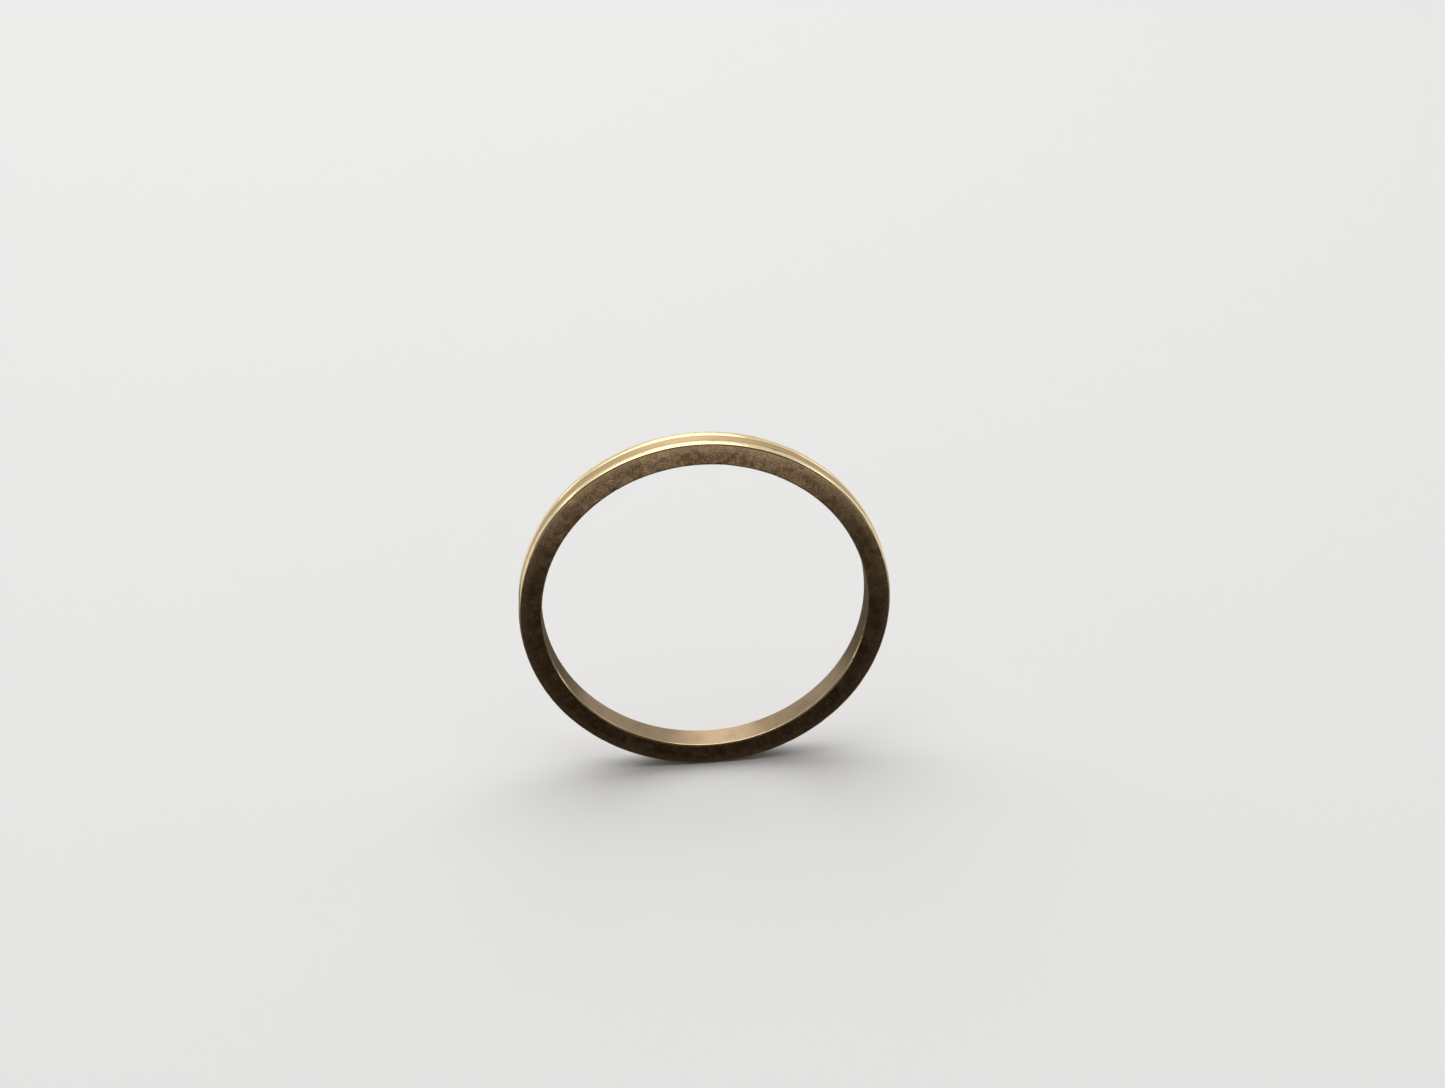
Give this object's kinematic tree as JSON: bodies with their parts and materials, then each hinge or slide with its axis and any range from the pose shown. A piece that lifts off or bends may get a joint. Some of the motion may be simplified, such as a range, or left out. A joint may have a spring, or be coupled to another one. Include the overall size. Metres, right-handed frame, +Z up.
{
  "type": "wedding band",
  "caption": "Slim flat gold wedding band: a satin centre band between polished edge rails, with hairline grooves and a plain round finger bore.",
  "frame": {"origin": "centre of the finger hole, on the ring's axis and half way through the band's width", "axes": "the ring stands on edge: +Y runs along its axis from the front side face to the rear one, +Z up, +X to the right seen from the front"},
  "size_m": [0.0198, 0.0016, 0.0198],
  "materials": {
    "satin_gold": null,
    "polished_gold": null
  },
  "bodies": {
    "root": {"centre_band": "satin_gold", "front_rail": "polished_gold", "rear_rail": "polished_gold"}
  },
  "joints": []
}
